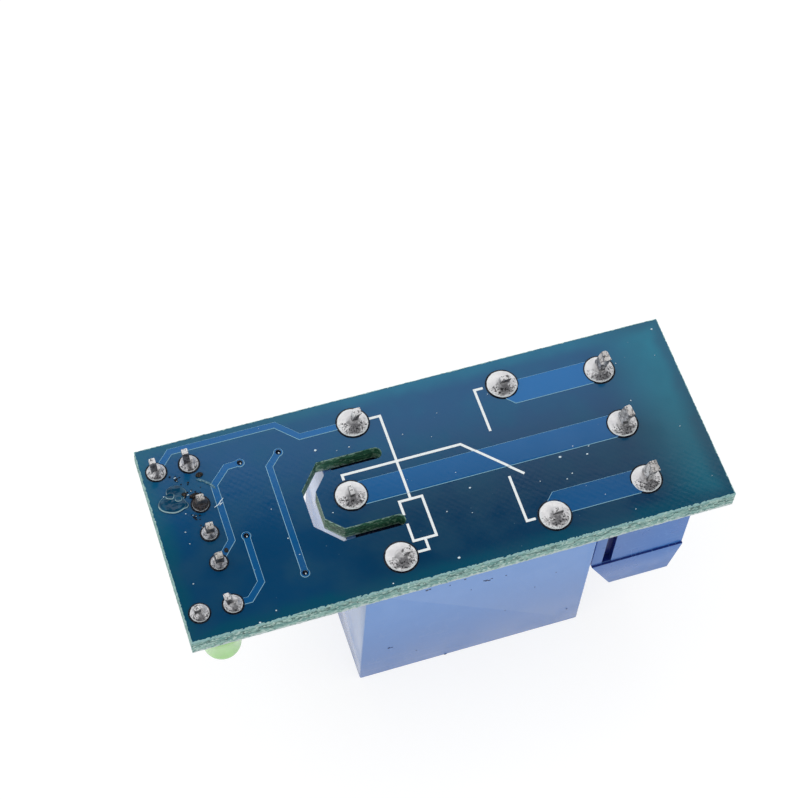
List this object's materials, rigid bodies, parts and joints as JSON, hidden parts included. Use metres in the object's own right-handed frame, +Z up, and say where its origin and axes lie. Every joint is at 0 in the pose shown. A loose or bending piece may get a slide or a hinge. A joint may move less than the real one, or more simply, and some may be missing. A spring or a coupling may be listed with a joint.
{
  "type": "relay module board",
  "caption": "Single-channel relay module: a blue board standing on its relay, solder side up, with a screw terminal block, a pin header, indicator lamps and an isolation slot.",
  "frame": {"origin": "under the middle of the board, on the surface that the flat top of the relay stands on", "axes": "+X along the board from the header to the screw terminals, +Y across it to the side of the open contact, +Z up, out of the solder side"},
  "size_m": [0.0428, 0.0164, 0.0189],
  "materials": {
    "laminate": "sawn glass laminate",
    "copper": "copper, tinned where it is bare",
    "mask": "glossy blue solder mask",
    "legend": "white printed ink",
    "relay_shell": "satin blue moulding",
    "relay_inside": "black moulding",
    "resin": "poured resin",
    "bobbin": "natural nylon",
    "winding": "enamelled copper wire",
    "iron": "nickel-plated soft iron",
    "spring": "bronze strip",
    "contacts": "silver alloy and tinned strip",
    "terminal_shell": "satin blue moulding",
    "clamp": "nickel-plated brass",
    "screw": "zinc-plated steel",
    "header_shell": "black moulding",
    "header_metal": "thin gold plating",
    "green_lens": "diffused green resin",
    "red_lens": "diffused red resin",
    "lead": "tinned steel",
    "chip": "black ceramic and epoxy",
    "diode_glass": "tinted glass",
    "solder": "bright pitted tin"
  },
  "bodies": {
    "module": {"board": "laminate", "solder_side_copper": "copper", "component_side_copper": "copper", "solder_side_mask": "mask", "component_side_mask": "mask", "solder_side_legend": "legend", "component_side_legend": "legend", "hole_platings": "copper", "relay_case": "relay_shell", "relay_base": "relay_inside", "relay_resin": "resin", "coil_bobbin": "bobbin", "coil_winding": "winding", "coil_core": "iron", "yoke": "iron", "common_pin": "contacts", "coil_pin_1": "contacts", "coil_pin_2": "contacts", "closed_contact": "contacts", "open_contact": "contacts", "terminal_housing": "terminal_shell", "terminal_cage_1": "clamp", "terminal_cage_2": "clamp", "terminal_cage_3": "clamp", "header_strip": "header_shell", "header_pin_1": "header_metal", "header_pin_2": "header_metal", "header_pin_3": "header_metal", "red_lamp_lens": "red_lens", "red_lamp_anode": "lead", "red_lamp_cathode": "lead", "green_lamp_lens": "green_lens", "green_lamp_anode": "lead", "green_lamp_cathode": "lead", "transistor_body": "chip", "transistor_leads": "lead", "diode_glass": "diode_glass", "diode_ends": "lead", "resistor_1": "chip", "resistor_2": "chip", "resistor_3": "chip", "resistor_ends": "solder", "relay_solder": "solder", "terminal_solder": "solder", "header_solder": "solder", "lamp_solder": "solder", "surface_solder": "solder"},
    "armature": {"armature": "iron", "contact_spring": "spring", "moving_contact": "contacts"},
    "plate_1": {"terminal_plate_1": "clamp"},
    "plate_2": {"terminal_plate_2": "clamp"},
    "plate_3": {"terminal_plate_3": "clamp"},
    "screw_1": {"terminal_screw_1": "screw"},
    "screw_2": {"terminal_screw_2": "screw"},
    "screw_3": {"terminal_screw_3": "screw"}
  },
  "joints": [
    {"name": "armature_pull", "type": "hinge", "parent": "module", "child": "armature", "pos_m": [-0.0053, 0, 0.00325], "axis": [0, -1, 0], "range_deg": [0, 2.2], "stiffness_Nm_per_rad": 0.02, "springref_deg": -2.86},
    {"name": "plate_1_lift", "type": "slide", "parent": "module", "child": "plate_1", "axis": [0, 0, 1], "range_m": [0, 0.0021]},
    {"name": "plate_2_lift", "type": "slide", "parent": "module", "child": "plate_2", "axis": [0, 0, 1], "range_m": [0, 0.0021]},
    {"name": "plate_3_lift", "type": "slide", "parent": "module", "child": "plate_3", "axis": [0, 0, 1], "range_m": [0, 0.0021]},
    {"name": "screw_1_turn", "type": "hinge", "parent": "plate_1", "child": "screw_1", "pos_m": [0.01527, 0.00508, 0.0072], "axis": [0, 0, 1], "range_deg": [0, 1530]},
    {"name": "screw_2_turn", "type": "hinge", "parent": "plate_2", "child": "screw_2", "pos_m": [0.01527, 0, 0.0072], "axis": [0, 0, 1], "range_deg": [0, 1530]},
    {"name": "screw_3_turn", "type": "hinge", "parent": "plate_3", "child": "screw_3", "pos_m": [0.01527, -0.00508, 0.0072], "axis": [0, 0, 1], "range_deg": [0, 1530]}
  ],
  "couplings": [
    {"joint": "screw_1_turn", "follows": "plate_1_lift", "rad_per_m": 12566},
    {"joint": "screw_2_turn", "follows": "plate_2_lift", "rad_per_m": 12566},
    {"joint": "screw_3_turn", "follows": "plate_3_lift", "rad_per_m": 12566}
  ]
}
